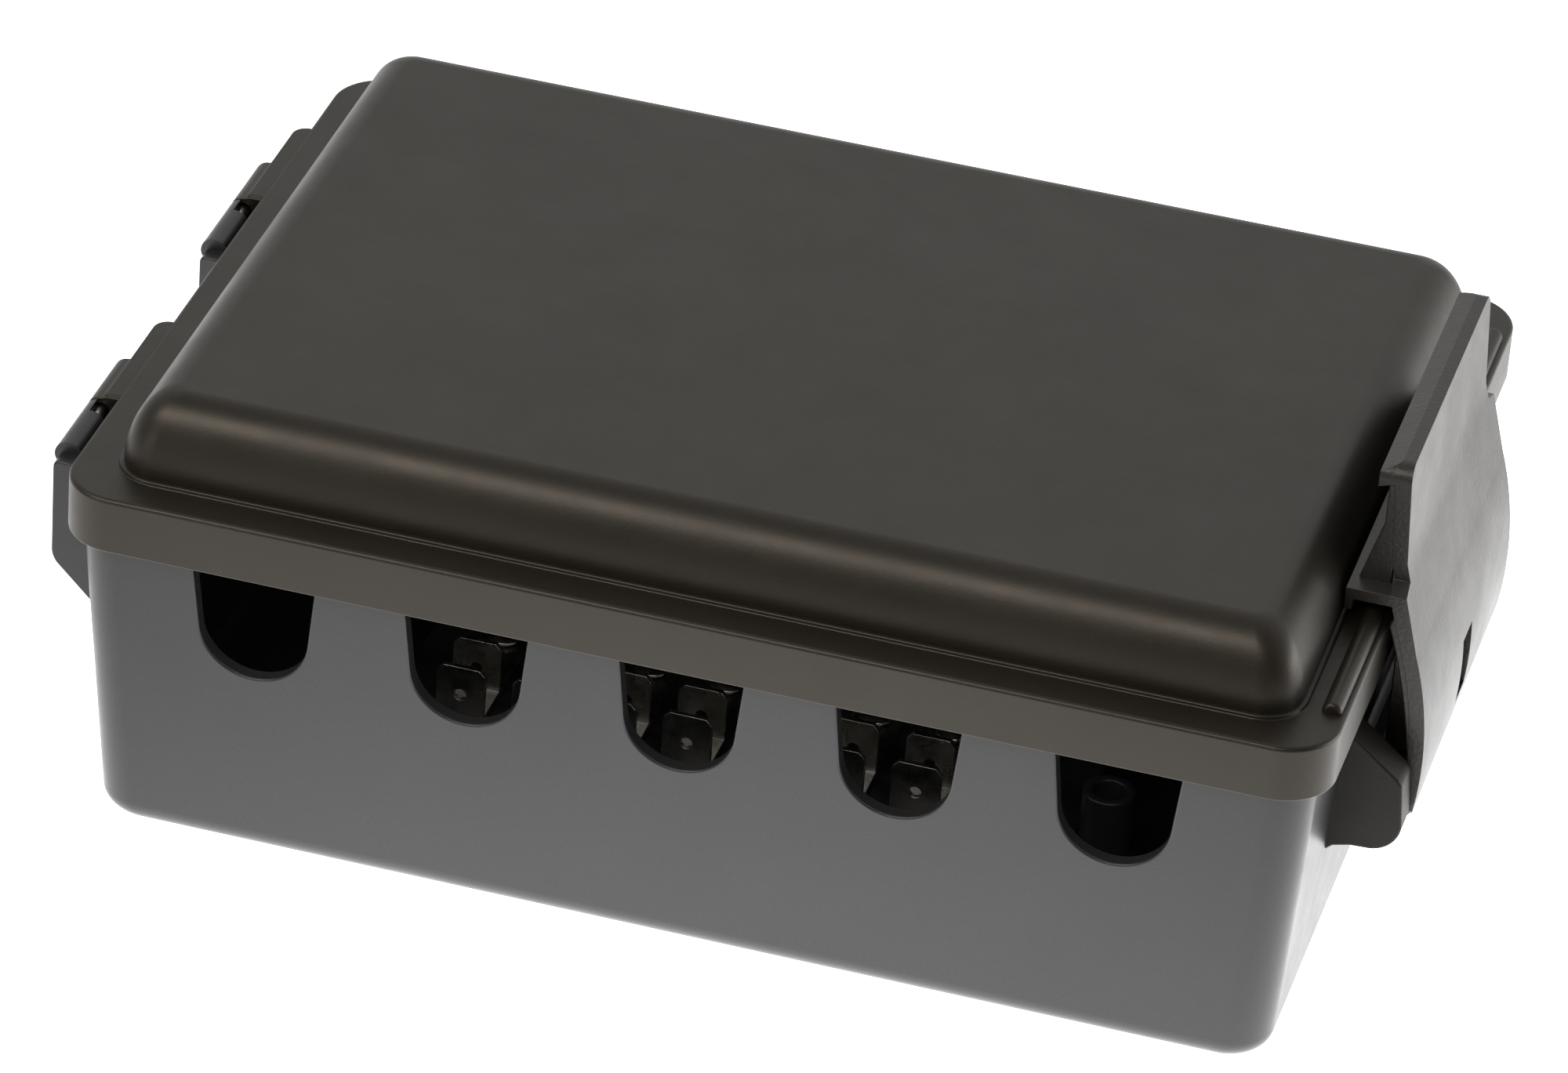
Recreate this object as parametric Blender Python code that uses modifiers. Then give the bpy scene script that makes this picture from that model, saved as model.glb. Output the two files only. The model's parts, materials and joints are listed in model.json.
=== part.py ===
"""Cable junction box for a trailer: a moulded tub with five cable slots, a hinged lid,
a snap latch, and a terminal board with eight brass bus strips.

Frame: +Z up, origin at the middle of the tub's underside, -Y the long wall with the slots,
-X the hinge end, +X the latch end. Metres.
"""

import math

import bmesh
import bpy
from mathutils import Matrix

MM = 0.001

# Tub
RIM_HALF = (77.55 * MM, 54.5 * MM)  # outside, at the rim
FLOOR_HALF = (74.65 * MM, 51.6 * MM)  # outside, at the underside
RIM_Z = 47.0 * MM
WALL = 2.2 * MM
FLOOR = 2.5 * MM
TUB_CORNER = 5.4 * MM
TUB_EDGE = 3.5 * MM
RELIEF_X = -71.0 * MM  # the rim is cut down from here to the hinge end, where the skirt swings in
RELIEF_Z = 42.2 * MM

# Lid
LID_HALF = (79.15 * MM, 56.1 * MM)
SKIRT_Z = 42.1 * MM
FLANGE_Z = 49.6 * MM
SKIRT_WALL = 1.25 * MM
FLANGE_WALL = 1.5 * MM
LID_CORNER = 7.0 * MM
FLANGE_WIDTH = 5.0 * MM
BEAD_HEIGHT = 0.5 * MM
BEAD_WIDTH = 0.6 * MM
DOME_TOP = 59.9 * MM
DOME_CORNER = 5.0 * MM
DOME_EDGE = 6.0 * MM
DOME_LEAN = 0.3 * MM
DOME_WALL = 1.8 * MM
RIB_X = 77.2 * MM
RIB_RADIUS = 1.25 * MM
RIB_HALF_LENGTH = 46.7 * MM

# Cable slots in the front wall
SLOTS = 5
SLOT_PITCH = 27.0 * MM
SLOT_BOTTOM = 26.6 * MM
SLOT_TOP_HALF = 7.7 * MM  # at SLOT_TOP_Z
SLOT_TOP_Z = 41.0 * MM
SLOT_SLOPE = 0.097

# Screw posts that fasten the tub from inside
POST_X = 48.0 * MM
POST_Y = 27.0 * MM
POST_RADIUS = 3.3 * MM
POST_BORE = 2.1 * MM
POST_TOP = 20.0 * MM

# Hinges: a tub barrel in front and a lid barrel behind it, on one pin, and a plain gusset at the rear
HINGE_X = -81.3 * MM
HINGE_Z = 47.3 * MM
HINGE_FRONTS = {"front": -47.0 * MM, "rear": 6.0 * MM}
BARREL_RADIUS = 1.8 * MM
PIN_RADIUS = 0.75 * MM
TUB_BARREL = (2.3 * MM, 13.2 * MM)
LID_BARREL = (13.6 * MM, 23.8 * MM)
REAR_GUSSET = (24.2 * MM, 33.2 * MM)
BRACKET_X = -82.5 * MM
BRACKET_TOP = 43.6 * MM
PLATE_TOP = 47.6 * MM  # of the plain plate in front of the barrel
HINGE_FOOT_Z = 28.6 * MM
HINGE_CHAMFER_Z = 34.3 * MM
LUG_X = -81.0 * MM
LUG_END = 33.6 * MM
LUG_CORNER = 2.0 * MM

# Latch: a plate on two trunnions, with a finger ledge at its top and a hook half way up
PIVOT_X = 81.1 * MM
PIVOT_Z = 25.5 * MM
CHEEK_INNER = 26.0 * MM
CHEEK_OUTER = 31.0 * MM
CHEEK_RADIUS = 4.0 * MM
CHEEK_CENTRE = (80.8 * MM, 25.2 * MM)
CHEEK_WEB = ((75.0 * MM, 19.1 * MM), (81.6 * MM, 20.6 * MM))  # the shelf between the cheeks, X and Z
LATCH_HALF = 25.5 * MM  # half width, from the hook down
CROWN_HALF = 22.8 * MM  # half width above the hook
CROWN_CORNER = 1.5 * MM
PLATE = 1.9 * MM
CROWN = (79.6 * MM, 70.0 * MM)
CREASE = (80.4 * MM, 57.0 * MM)
BELLY = (85.56 * MM, 31.0 * MM)  # the plate stands out furthest here
BELLY_RADIUS = 50.0 * MM
HEEL = (84.2 * MM, 22.7 * MM)
LEDGE_TIP = (75.7 * MM, 69.0 * MM)
LEDGE_RIDGE = (78.3 * MM, 69.7 * MM)
LEDGE_THICK = 2.0 * MM
HOOK_X = 73.75 * MM
HOOK_LIP = 1.0 * MM
HOOK_LIP_Z = 50.9 * MM
HOOK_LOW = 52.4 * MM
HOOK_HIGH = 53.7 * MM
EDGE_RIB = 1.4 * MM  # width of the ribs down the plate's two side edges
GUSSET = 1.2 * MM
BACK_RIB_X = 79.9 * MM
BACK_RIB = (29.0 * MM, 50.0 * MM)
BACK_RIB_Y = (-20.0 * MM, -10.0 * MM, 10.0 * MM, 20.0 * MM)
LATCH_BARREL = 2.6 * MM
TRUNNION_RADIUS = 1.5 * MM
TRUNNION_LENGTH = 2.8 * MM
LATCH_SLOT_HALF = 2.5 * MM
LATCH_SLOT = (26.0 * MM, 35.0 * MM)

# Terminal board and its strips
COLUMNS = 8
COLUMN_PITCH = 9.8 * MM
BOARD_HALF = (44.0 * MM, 35.5 * MM)
BOARD_LOW = 8.2 * MM
BOARD_HIGH = 11.0 * MM
BOSS_X = 41.2 * MM
BOSS_RADIUS = 3.4 * MM
BOSS_BORE = 1.7 * MM
TAB_WIDTH = 6.3 * MM
TAB_THICK = 0.8 * MM
TAB_TOP = 19.0 * MM
TAB_ROWS = (-30.0 * MM, -23.4 * MM, 23.4 * MM, 30.0 * MM)
TAB_CHAMFER = 1.0 * MM
TAB_HOLE = 0.8 * MM
TAB_HOLE_DROP = 4.0 * MM
RIVET_Y = 12.0 * MM

GAP = 0.3 * MM
BEYOND = 3.0 * MM  # how far a cutter runs past the face that it opens

ARC_STEPS = 6
ROUND_SIDES = 20

AXES = {
    "X": Matrix(((0, 0, 1, 0), (1, 0, 0, 0), (0, 1, 0, 0), (0, 0, 0, 1))),
    "Y": Matrix(((1, 0, 0, 0), (0, 0, -1, 0), (0, 1, 0, 0), (0, 0, 0, 1))),
    "Z": Matrix.Identity(4),
}


# ---------------------------------------------------------------- scene and materials


def clear_scene():
    for obj in list(bpy.data.objects):
        bpy.data.objects.remove(obj, do_unlink=True)


def new_collection(name, helper=False):
    collection = bpy.data.collections.new(name)
    bpy.context.scene.collection.children.link(collection)
    collection.hide_render = helper
    return collection


def material(name, colour, roughness, metallic=0.0):
    made = bpy.data.materials.new(name)
    made.use_nodes = True
    shader = made.node_tree.nodes["Principled BSDF"]
    shader.inputs["Base Color"].default_value = (*colour, 1)
    shader.inputs["Roughness"].default_value = roughness
    shader.inputs["Metallic"].default_value = metallic
    return made


clear_scene()
BOX = new_collection("cable_junction_box")
CUTTERS = new_collection("cutters", helper=True)
BLACK = material("moulded_plastic", (0.045, 0.043, 0.040), 0.42)
LATCH_PLASTIC = material("latch_plastic", (0.05, 0.05, 0.052), 0.45)
BOARD_PLASTIC = material("board_plastic", (0.02, 0.02, 0.02), 0.55)
BRASS = material("plated_brass", (0.62, 0.55, 0.40), 0.28, 1.0)
STEEL = material("zinc_steel", (0.62, 0.62, 0.60), 0.32, 1.0)


# ---------------------------------------------------------------- shapes


def object_of(name, shape, collection=CUTTERS):
    """An object from a bmesh, faces turned outwards. It is a helper unless it goes in BOX."""
    bmesh.ops.recalc_face_normals(shape, faces=shape.faces)
    mesh = bpy.data.meshes.new(name)
    shape.to_mesh(mesh)
    shape.free()
    made = bpy.data.objects.new(name, mesh)
    collection.objects.link(made)
    if collection is CUTTERS:
        made.hide_render = True
        made.display_type = "WIRE"
    return made


def keep(obj, finish):
    """Moves a finished piece from the helpers into the box and gives it its material."""
    CUTTERS.objects.unlink(obj)
    BOX.objects.link(obj)
    obj.hide_render = False
    obj.display_type = "TEXTURED"
    obj.data.materials.append(finish)
    obj.data.shade_smooth()
    obj.data.set_sharp_from_angle(angle=math.radians(35))
    return obj


def arc(centre, radius, start, end, steps=ARC_STEPS):
    """Points on an arc, from one angle to the other in degrees."""
    angles = [math.radians(start + (end - start) * i / steps) for i in range(steps + 1)]
    return [(centre[0] + radius * math.cos(a), centre[1] + radius * math.sin(a)) for a in angles]


def bowed(start, end, rise, steps=10):
    """Points on a circular arc between two points that stands off their chord by rise, to its left."""
    chord = math.dist(start, end)
    radius = (chord * chord / 4 + rise * rise) / (2 * rise)
    along = ((end[0] - start[0]) / chord, (end[1] - start[1]) / chord)
    left = (-along[1], along[0])
    reach = math.asin(chord / 2 / radius)
    points = []
    for i in range(steps + 1):
        angle = -reach + 2 * reach * i / steps
        u = chord / 2 + radius * math.sin(angle)
        v = rise - radius * (1 - math.cos(angle))
        points.append((start[0] + along[0] * u + left[0] * v, start[1] + along[1] * u + left[1] * v))
    return points


def extruded(name, outline, low, high, axis):
    """A closed outline filled and extruded from low to high along an axis."""
    curve = bpy.data.curves.new(name, "CURVE")
    curve.dimensions = "2D"
    curve.fill_mode = "BOTH"
    curve.extrude = (high - low) / 2
    spline = curve.splines.new("POLY")
    spline.points.add(len(outline) - 1)
    for point, (u, v) in zip(spline.points, outline):
        point.co = (u, v, 0, 1)
    spline.use_cyclic_u = True
    guide = bpy.data.objects.new(name, curve)
    bpy.context.scene.collection.objects.link(guide)
    graph = bpy.context.evaluated_depsgraph_get()
    mesh = bpy.data.meshes.new_from_object(guide.evaluated_get(graph))
    bpy.data.objects.remove(guide)
    shape = bmesh.new()
    shape.from_mesh(mesh)
    bpy.data.meshes.remove(mesh)
    bmesh.ops.remove_doubles(shape, verts=shape.verts, dist=0.001 * MM)
    middle = (high + low) / 2
    shift = -middle if axis == "Y" else middle
    shape.transform(AXES[axis] @ Matrix.Translation((0, 0, shift)))
    return object_of(name, shape)


def box(name, low, high):
    shape = bmesh.new()
    size = [b - a for a, b in zip(low, high)]
    centre = [(a + b) / 2 for a, b in zip(low, high)]
    place = Matrix.Translation(centre) @ Matrix.Diagonal((*size, 1))
    bmesh.ops.create_cube(shape, size=1, matrix=place)
    return object_of(name, shape)


def rod(name, radius, start, end, sides=ROUND_SIDES):
    """A cylinder along the axis in which its two end points differ."""
    reach = [b - a for a, b in zip(start, end)]
    axis = max(range(3), key=lambda i: abs(reach[i]))
    shape = bmesh.new()
    bmesh.ops.create_cone(
        shape, cap_ends=True, segments=sides, radius1=radius, radius2=radius, depth=abs(reach[axis])
    )
    centre = [(a + b) / 2 for a, b in zip(start, end)]
    shape.transform(Matrix.Translation(centre) @ AXES["XYZ"[axis]])
    return object_of(name, shape)


def turned(name, profile, centre, finish, sides=16):
    """A turned piece: a profile of (radius, height), top to bottom, swept round Z with a Screw modifier."""
    mesh = bpy.data.meshes.new(name)
    points = [(r, 0, z) for r, z in profile]
    mesh.from_pydata(points, [(i, i + 1) for i in range(len(points) - 1)], [])
    made = bpy.data.objects.new(name, mesh)
    CUTTERS.objects.link(made)
    made.location = centre
    screw = made.modifiers.new("turn", "SCREW")
    screw.steps = sides
    screw.render_steps = sides
    screw.use_merge_vertices = True
    screw.merge_threshold = 0.01 * MM
    return keep(made, finish)


def rounded_ring(shape, half, corner, z):
    """One closed ring of vertices round a rectangle with round corners."""
    points = []
    for sx, sy, start in ((1, 1, 0), (-1, 1, 90), (-1, -1, 180), (1, -1, 270)):
        centre = (sx * (half[0] - corner), sy * (half[1] - corner))
        points += arc(centre, corner, start, start + 90)
    return [shape.verts.new((x, y, z)) for x, y in points]


def lofted(name, rings):
    """A closed body through rings of (half size, corner radius, height), capped at both ends."""
    shape = bmesh.new()
    loops = [rounded_ring(shape, half, corner, z) for half, corner, z in rings]
    count = len(loops[0])
    for lower, upper in zip(loops, loops[1:]):
        for i in range(count):
            j = (i + 1) % count
            shape.faces.new((lower[i], lower[j], upper[j], upper[i]))
    shape.faces.new(loops[0])
    shape.faces.new(loops[-1])
    return object_of(name, shape)


def set_origin(obj, point):
    """Moves an object's origin to a point and leaves its shape where it is."""
    obj.data.transform(Matrix.Translation([-value for value in point]))
    obj.location = point


def inset(half, by):
    return (half[0] - by, half[1] - by)


def combine(body, other, operation):
    boolean = body.modifiers.new(operation.lower(), "BOOLEAN")
    boolean.operation = operation
    boolean.object = other
    return body


def join(body, *others):
    for other in others:
        combine(body, other, "UNION")


def cut(body, *others):
    for other in others:
        combine(body, other, "DIFFERENCE")


# ---------------------------------------------------------------- tub


def tub_half(z):
    """Half length and half width of the tub's outside at a height."""
    share = z / RIM_Z
    return tuple(low + (high - low) * share for low, high in zip(FLOOR_HALF, RIM_HALF))


def tub_shell():
    rings = []
    for i in range(ARC_STEPS + 1):
        angle = math.pi / 2 * i / ARC_STEPS
        z = TUB_EDGE * (1 - math.cos(angle))
        pulled = TUB_EDGE * (1 - math.sin(angle))
        rings.append((inset(tub_half(z), pulled), TUB_CORNER - pulled * 0.6, z))
    rings.append((RIM_HALF, TUB_CORNER, RIM_Z))
    rings.append((inset(RIM_HALF, WALL), TUB_CORNER - WALL, RIM_Z))
    inner_edge = 2 * MM
    for i in range(4):
        angle = math.pi / 2 * i / 3
        z = FLOOR + inner_edge * (1 - math.sin(angle))
        pulled = inner_edge * (1 - math.cos(angle))
        rings.append((inset(tub_half(z), WALL + pulled), TUB_CORNER - WALL - pulled * 0.6, z))
    return lofted("base_tub", rings)


def slot_cutter(index):
    """A tapered U, open at the top, through the front wall."""
    lean = math.atan(SLOT_SLOPE)
    # The radius at which a round bottom meets both leaning sides.
    reach = SLOT_TOP_HALF - SLOT_SLOPE * (SLOT_TOP_Z - SLOT_BOTTOM)
    radius = reach / (1 / math.cos(lean) - SLOT_SLOPE)
    middle = (index - (SLOTS - 1) / 2) * SLOT_PITCH
    degrees = math.degrees(lean)
    centre = (middle, SLOT_BOTTOM + radius)
    outline = arc(centre, radius, 180 + degrees, 360 - degrees, 2 * ARC_STEPS)
    top = RIM_Z + BEYOND
    wide = SLOT_TOP_HALF + SLOT_SLOPE * (top - SLOT_TOP_Z)
    outline += [(middle + wide, top), (middle - wide, top)]
    return extruded(f"slot_{index + 1}", outline, -RIM_HALF[1] - BEYOND, -RIM_HALF[1] + 3 * WALL, "Y")


def hinge_bracket(front):
    """The tub's part of one hinge: a plain plate, a barrel on a gusset, and a low bracket behind it."""
    wall_x = -RIM_HALF[0] + WALL * 0.9
    inner_x = HINGE_X + BARREL_RADIUS
    gusset_top = SKIRT_Z - 0.4 * MM
    foot = [(wall_x, HINGE_FOOT_Z - 1.2 * MM), (BRACKET_X, HINGE_CHAMFER_Z)]
    neck = 180 + math.degrees(math.acos((HINGE_X - BRACKET_X) / BARREL_RADIUS))
    rounded = arc((HINGE_X, HINGE_Z), BARREL_RADIUS, neck, 0, 2 * ARC_STEPS)
    gusset = foot + rounded + [(inner_x, gusset_top), (wall_x, gusset_top)]
    bracket = foot + [(BRACKET_X, BRACKET_TOP), (inner_x, BRACKET_TOP)]
    bracket += [(inner_x, gusset_top), (wall_x, gusset_top)]
    plate = foot + [(BRACKET_X, PLATE_TOP), (inner_x, PLATE_TOP), (inner_x, gusset_top), (wall_x, gusset_top)]
    ends = (front + TUB_BARREL[1] - 1 * MM, front + REAR_GUSSET[1])
    return [
        extruded("hinge_front_plate", plate, front, front + TUB_BARREL[0] + 0.5 * MM, "Y"),
        extruded("hinge_gusset", gusset, front + TUB_BARREL[0], front + TUB_BARREL[1], "Y"),
        extruded("hinge_bracket", bracket, *ends, "Y"),
    ]


def hinge_bore(front):
    start = (HINGE_X, front + TUB_BARREL[0] + 0.8 * MM, HINGE_Z)
    end = (HINGE_X, front + TUB_BARREL[1] + BEYOND, HINGE_Z)
    return rod("hinge_bore", PIN_RADIUS + GAP, start, end, 12)


def latch_cheek(side):
    """One of the two ears that hold the latch, with a blind socket for its trunnion."""
    wall_x = RIM_HALF[0] - WALL * 1.2
    outline = [(wall_x, 18.6 * MM), (75.6 * MM, 19.6 * MM), (76.8 * MM, 20.6 * MM), (78.7 * MM, 21.1 * MM)]
    outline += arc(CHEEK_CENTRE, CHEEK_RADIUS, -90, 0)
    outline += [(84.3 * MM, 31.0 * MM), (83.6 * MM, 31.9 * MM), (wall_x, 39.1 * MM)]
    low, high = sorted((side * CHEEK_INNER, side * CHEEK_OUTER))
    return extruded("latch_cheek", outline, low, high, "Y")


def cheek_web():
    low, high = CHEEK_WEB
    end = CHEEK_INNER + 1 * MM
    return box("cheek_web", (low[0], -end, low[1]), (high[0], end, high[1]))


def trunnion_socket(side):
    start = (PIVOT_X, side * (CHEEK_INNER - 1 * MM), PIVOT_Z)
    end = (PIVOT_X, side * (CHEEK_INNER + TRUNNION_LENGTH + 0.4 * MM), PIVOT_Z)
    return rod("trunnion_socket", TRUNNION_RADIUS + GAP, start, end)


def make_tub():
    tub = tub_shell()
    inside = FLOOR / 2
    for sx in (-1, 1):
        boss = rod("board_boss", BOSS_RADIUS, (sx * BOSS_X, 0, inside), (sx * BOSS_X, 0, BOARD_LOW - GAP))
        join(tub, boss)
        for sy in (-1, 1):
            foot = (sx * POST_X, sy * POST_Y, inside)
            join(tub, rod("screw_post", POST_RADIUS, foot, (foot[0], foot[1], POST_TOP)))
    for front in HINGE_FRONTS.values():
        join(tub, *hinge_bracket(front))
    join(tub, latch_cheek(-1), latch_cheek(1), cheek_web())
    for sx in (-1, 1):
        bore = rod("board_bore", BOSS_BORE, (sx * BOSS_X, 0, FLOOR), (sx * BOSS_X, 0, BOARD_LOW + BEYOND))
        cut(tub, bore)
        for sy in (-1, 1):
            low = (sx * POST_X, sy * POST_Y, -BEYOND)
            cut(tub, rod("post_bore", POST_BORE, low, (low[0], low[1], POST_TOP + BEYOND)))
    cut(tub, *(slot_cutter(i) for i in range(SLOTS)))
    cut(tub, *(hinge_bore(front) for front in HINGE_FRONTS.values()))
    cut(tub, trunnion_socket(-1), trunnion_socket(1))
    relief_low = (-RIM_HALF[0] - 1.2 * MM, -LID_HALF[1], RELIEF_Z)
    cut(tub, box("rim_relief", relief_low, (RELIEF_X, LID_HALF[1], RIM_Z + BEYOND)))
    return keep(tub, BLACK)


# ---------------------------------------------------------------- lid


def lid_shell():
    """Skirt, flange, bead and dome outside, then the same way back inside."""
    bead = inset(LID_HALF, FLANGE_WIDTH)
    dome = inset(bead, BEAD_WIDTH)
    rings = [
        (LID_HALF, LID_CORNER, SKIRT_Z),
        (LID_HALF, LID_CORNER, FLANGE_Z),
        (bead, DOME_CORNER + BEAD_WIDTH, FLANGE_Z),
        (bead, DOME_CORNER + BEAD_WIDTH, FLANGE_Z + BEAD_HEIGHT),
        (dome, DOME_CORNER, FLANGE_Z + BEAD_HEIGHT),
    ]
    shoulder = inset(dome, DOME_LEAN)
    for i in range(ARC_STEPS + 1):
        angle = math.pi / 2 * i / ARC_STEPS
        pulled = DOME_EDGE * (1 - math.cos(angle))
        corner = DOME_CORNER - pulled * 0.6
        rings.append((inset(shoulder, pulled), corner, DOME_TOP - DOME_EDGE + DOME_EDGE * math.sin(angle)))
    inner_edge = DOME_EDGE - DOME_WALL
    inner = inset(shoulder, DOME_WALL)
    for i in range(4):
        angle = math.pi / 2 * (1 - i / 3)
        pulled = inner_edge * (1 - math.cos(angle))
        corner = DOME_CORNER - DOME_WALL - pulled * 0.6
        rings.append((inset(inner, pulled), corner, DOME_TOP - DOME_EDGE + inner_edge * math.sin(angle)))
    under = FLANGE_Z - FLANGE_WALL
    skirt = inset(LID_HALF, SKIRT_WALL)
    rings.append((inner, DOME_CORNER - DOME_WALL, under))
    rings.append((skirt, LID_CORNER - SKIRT_WALL, under))
    rings.append((skirt, LID_CORNER - SKIRT_WALL, SKIRT_Z))
    return rings


def make_lid():
    rings = lid_shell()
    # The loft is a closed loop of rings: it runs from the dome's crown out, round the skirt and back in.
    crown = next(i for i, ring in enumerate(rings) if ring[2] >= DOME_TOP)
    lid = lofted("lid", rings[crown::-1] + rings[:crown:-1])
    rib = arc((RIB_X, FLANGE_Z + 0.1 * MM), RIB_RADIUS, 0, 180)
    rib += [(RIB_X - RIB_RADIUS, FLANGE_Z - 1 * MM), (RIB_X + RIB_RADIUS, FLANGE_Z - 1 * MM)]
    join(lid, extruded("catch_rib", rib, -RIB_HALF_LENGTH, RIB_HALF_LENGTH, "Y"))
    skirt_x = -LID_HALF[0] + SKIRT_WALL * 0.6
    flange_under = FLANGE_Z - 1.25 * MM
    arm_top = FLANGE_Z - 0.2 * MM
    for front in HINGE_FRONTS.values():
        arm = arc((HINGE_X, HINGE_Z), BARREL_RADIUS, 90, 330, 12)
        arm += [(skirt_x, HINGE_Z - 1.2 * MM), (skirt_x, arm_top), (HINGE_X + 0.8 * MM, arm_top)]
        join(lid, extruded("lid_barrel", arm, front + LID_BARREL[0], front + LID_BARREL[1], "Y"))
        lug = [(skirt_x, front + LID_BARREL[0] + 0.4 * MM), (LUG_X, front + LID_BARREL[0] + 0.4 * MM)]
        lug += arc((LUG_X + LUG_CORNER, front + LUG_END - LUG_CORNER), LUG_CORNER, 180, 90)
        lug += [(skirt_x, front + LUG_END)]
        join(lid, extruded("lid_lug", lug, flange_under, FLANGE_Z - 0.1 * MM, "Z"))
    for front in HINGE_FRONTS.values():
        start = (HINGE_X, front + LID_BARREL[0] - 1 * MM, HINGE_Z)
        end = (HINGE_X, front + LID_BARREL[1] + 1 * MM, HINGE_Z)
        cut(lid, rod("lid_bore", PIN_RADIUS + GAP, start, end, 12))
    set_origin(lid, (HINGE_X, 0, HINGE_Z))
    return keep(lid, BLACK)


# ---------------------------------------------------------------- latch


def plate_line():
    """The outer face of the plate in X and Z, from the crease to the heel: straight, then a wide arc."""
    centre = (BELLY[0] - BELLY_RADIUS, BELLY[1])
    return [CREASE] + arc(centre, BELLY_RADIUS, 17.5, -8.5, 12) + [HEEL]


def latch_profile():
    """Section of the latch across X and Z: plate, finger ledge at the top and hook half way."""
    plate = plate_line()
    outer = [LEDGE_TIP, LEDGE_RIDGE, CROWN] + plate
    inner = [(x - PLATE, z) for x, z in reversed(plate)]
    below = [point for point in inner if point[1] < HOOK_LOW]
    above = [point for point in inner if point[1] > HOOK_HIGH]
    root_x = inner[-1][0] + 1 * MM
    hook = [
        (root_x, HOOK_LOW),
        (HOOK_X + HOOK_LIP, HOOK_LOW),
        (HOOK_X + HOOK_LIP, HOOK_LIP_Z),
        (HOOK_X, HOOK_LIP_Z),
        (HOOK_X, HOOK_HIGH),
        (root_x - 0.3 * MM, HOOK_HIGH),
    ]
    under_z = LEDGE_TIP[1] - LEDGE_THICK
    under = [(CROWN[0] - PLATE, under_z + 0.6 * MM), (LEDGE_TIP[0], under_z)]
    return outer + below + hook + above + under


def latch_outline():
    """The latch seen from +X: a narrow crown on a wider plate."""
    corner = (CROWN_HALF - CROWN_CORNER, CROWN[1] - CROWN_CORNER)
    right = arc(corner, CROWN_CORNER, 90, 0) + [(CROWN_HALF, HOOK_HIGH + 0.8 * MM), (LATCH_HALF, HOOK_HIGH)]
    right += [(LATCH_HALF, HEEL[1] + 1.5 * MM), (LATCH_HALF - 1.5 * MM, HEEL[1])]
    return right + [(-y, z) for y, z in reversed(right)]


def edge_rib(side):
    """The plate is deeper along its side edges, most of all under the hook."""
    outer = [(x - 0.2 * MM, z) for x, z in plate_line() if z < HOOK_LOW]
    inner = bowed((79.5 * MM, 49.6 * MM), (83.6 * MM, 31.0 * MM), 0.5 * MM, 6)
    low, high = sorted((side * (LATCH_HALF - EDGE_RIB), side * LATCH_HALF))
    rib = outer + [(83.0 * MM, HEEL[1] + 2 * MM)] + inner[::-1] + [(80.5 * MM, HOOK_LOW + 0.5 * MM)]
    return extruded("edge_rib", rib, low, high, "Y")


def latch_gusset(side):
    """A web behind the plate's edge that carries the ledge and runs down to the hook."""
    back = CROWN[0] - PLATE + 1 * MM
    web = [(77.0 * MM, 68.0 * MM), (77.0 * MM, 62.0 * MM), (74.6 * MM, HOOK_HIGH - 0.3 * MM)]
    web += [(back, HOOK_HIGH - 0.3 * MM), (back, 68.0 * MM)]
    low, high = sorted((side * (CROWN_HALF - GUSSET), side * (CROWN_HALF - 0.02 * MM)))
    return extruded("latch_gusset", web, low, high, "Y")


def back_rib(y):
    """One of the ribs that stiffen the back of the plate."""
    inner = [(x - PLATE + 0.5 * MM, z) for x, z in plate_line() if BACK_RIB[0] < z < BACK_RIB[1]]
    rib = inner + [(BACK_RIB_X, BACK_RIB[0]), (BACK_RIB_X, BACK_RIB[1])]
    return extruded("back_rib", rib, y - GUSSET / 2, y + GUSSET / 2, "Y")


def make_latch():
    latch = extruded("latch", latch_profile(), -LATCH_HALF - BEYOND, LATCH_HALF + BEYOND, "Y")
    trim = extruded("latch_trim", latch_outline(), HOOK_X - BEYOND, BELLY[0] + BEYOND, "X")
    combine(latch, trim, "INTERSECT")
    for side in (-1, 1):
        join(latch, edge_rib(side), latch_gusset(side))
    join(latch, *(back_rib(y) for y in BACK_RIB_Y))
    end = LATCH_HALF - 0.1 * MM
    join(latch, rod("latch_barrel", LATCH_BARREL, (PIVOT_X, -end, PIVOT_Z), (PIVOT_X, end, PIVOT_Z)))
    tip = CHEEK_INNER + TRUNNION_LENGTH
    join(latch, rod("trunnions", TRUNNION_RADIUS, (PIVOT_X, -tip, PIVOT_Z), (PIVOT_X, tip, PIVOT_Z), 16))
    web_low = (PIVOT_X, -20 * MM, PIVOT_Z - 1.5 * MM)
    join(latch, box("latch_web", web_low, (HEEL[0], 20 * MM, PIVOT_Z + 1.5 * MM)))
    slot_low = (PIVOT_X + 1 * MM, -LATCH_SLOT_HALF, LATCH_SLOT[0])
    cut(latch, box("latch_slot", slot_low, (BELLY[0] + BEYOND, LATCH_SLOT_HALF, LATCH_SLOT[1])))
    set_origin(latch, (PIVOT_X, 0, PIVOT_Z))
    return keep(latch, LATCH_PLASTIC)


# ---------------------------------------------------------------- terminals


def column_x(index):
    return (index - (COLUMNS - 1) / 2) * COLUMN_PITCH


def make_board():
    board = box("terminal_board", (-BOARD_HALF[0], -BOARD_HALF[1], BOARD_LOW), (*BOARD_HALF, BOARD_HIGH))
    for sx in (-1, 1):
        hole_low = (sx * BOSS_X, 0, BOARD_LOW - 1 * MM)
        cut(board, rod("board_hole", BOSS_BORE, hole_low, (sx * BOSS_X, 0, BOARD_HIGH + 1 * MM)))
    for index in range(COLUMNS):
        for sy in (-1, 1):
            low = (column_x(index), sy * RIVET_Y, BOARD_LOW - 1 * MM)
            high = (low[0], low[1], BOARD_HIGH + 1 * MM)
            cut(board, rod("rivet_hole", 1.5 * MM, low, high, 12))
    return keep(board, BOARD_PLASTIC)


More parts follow.
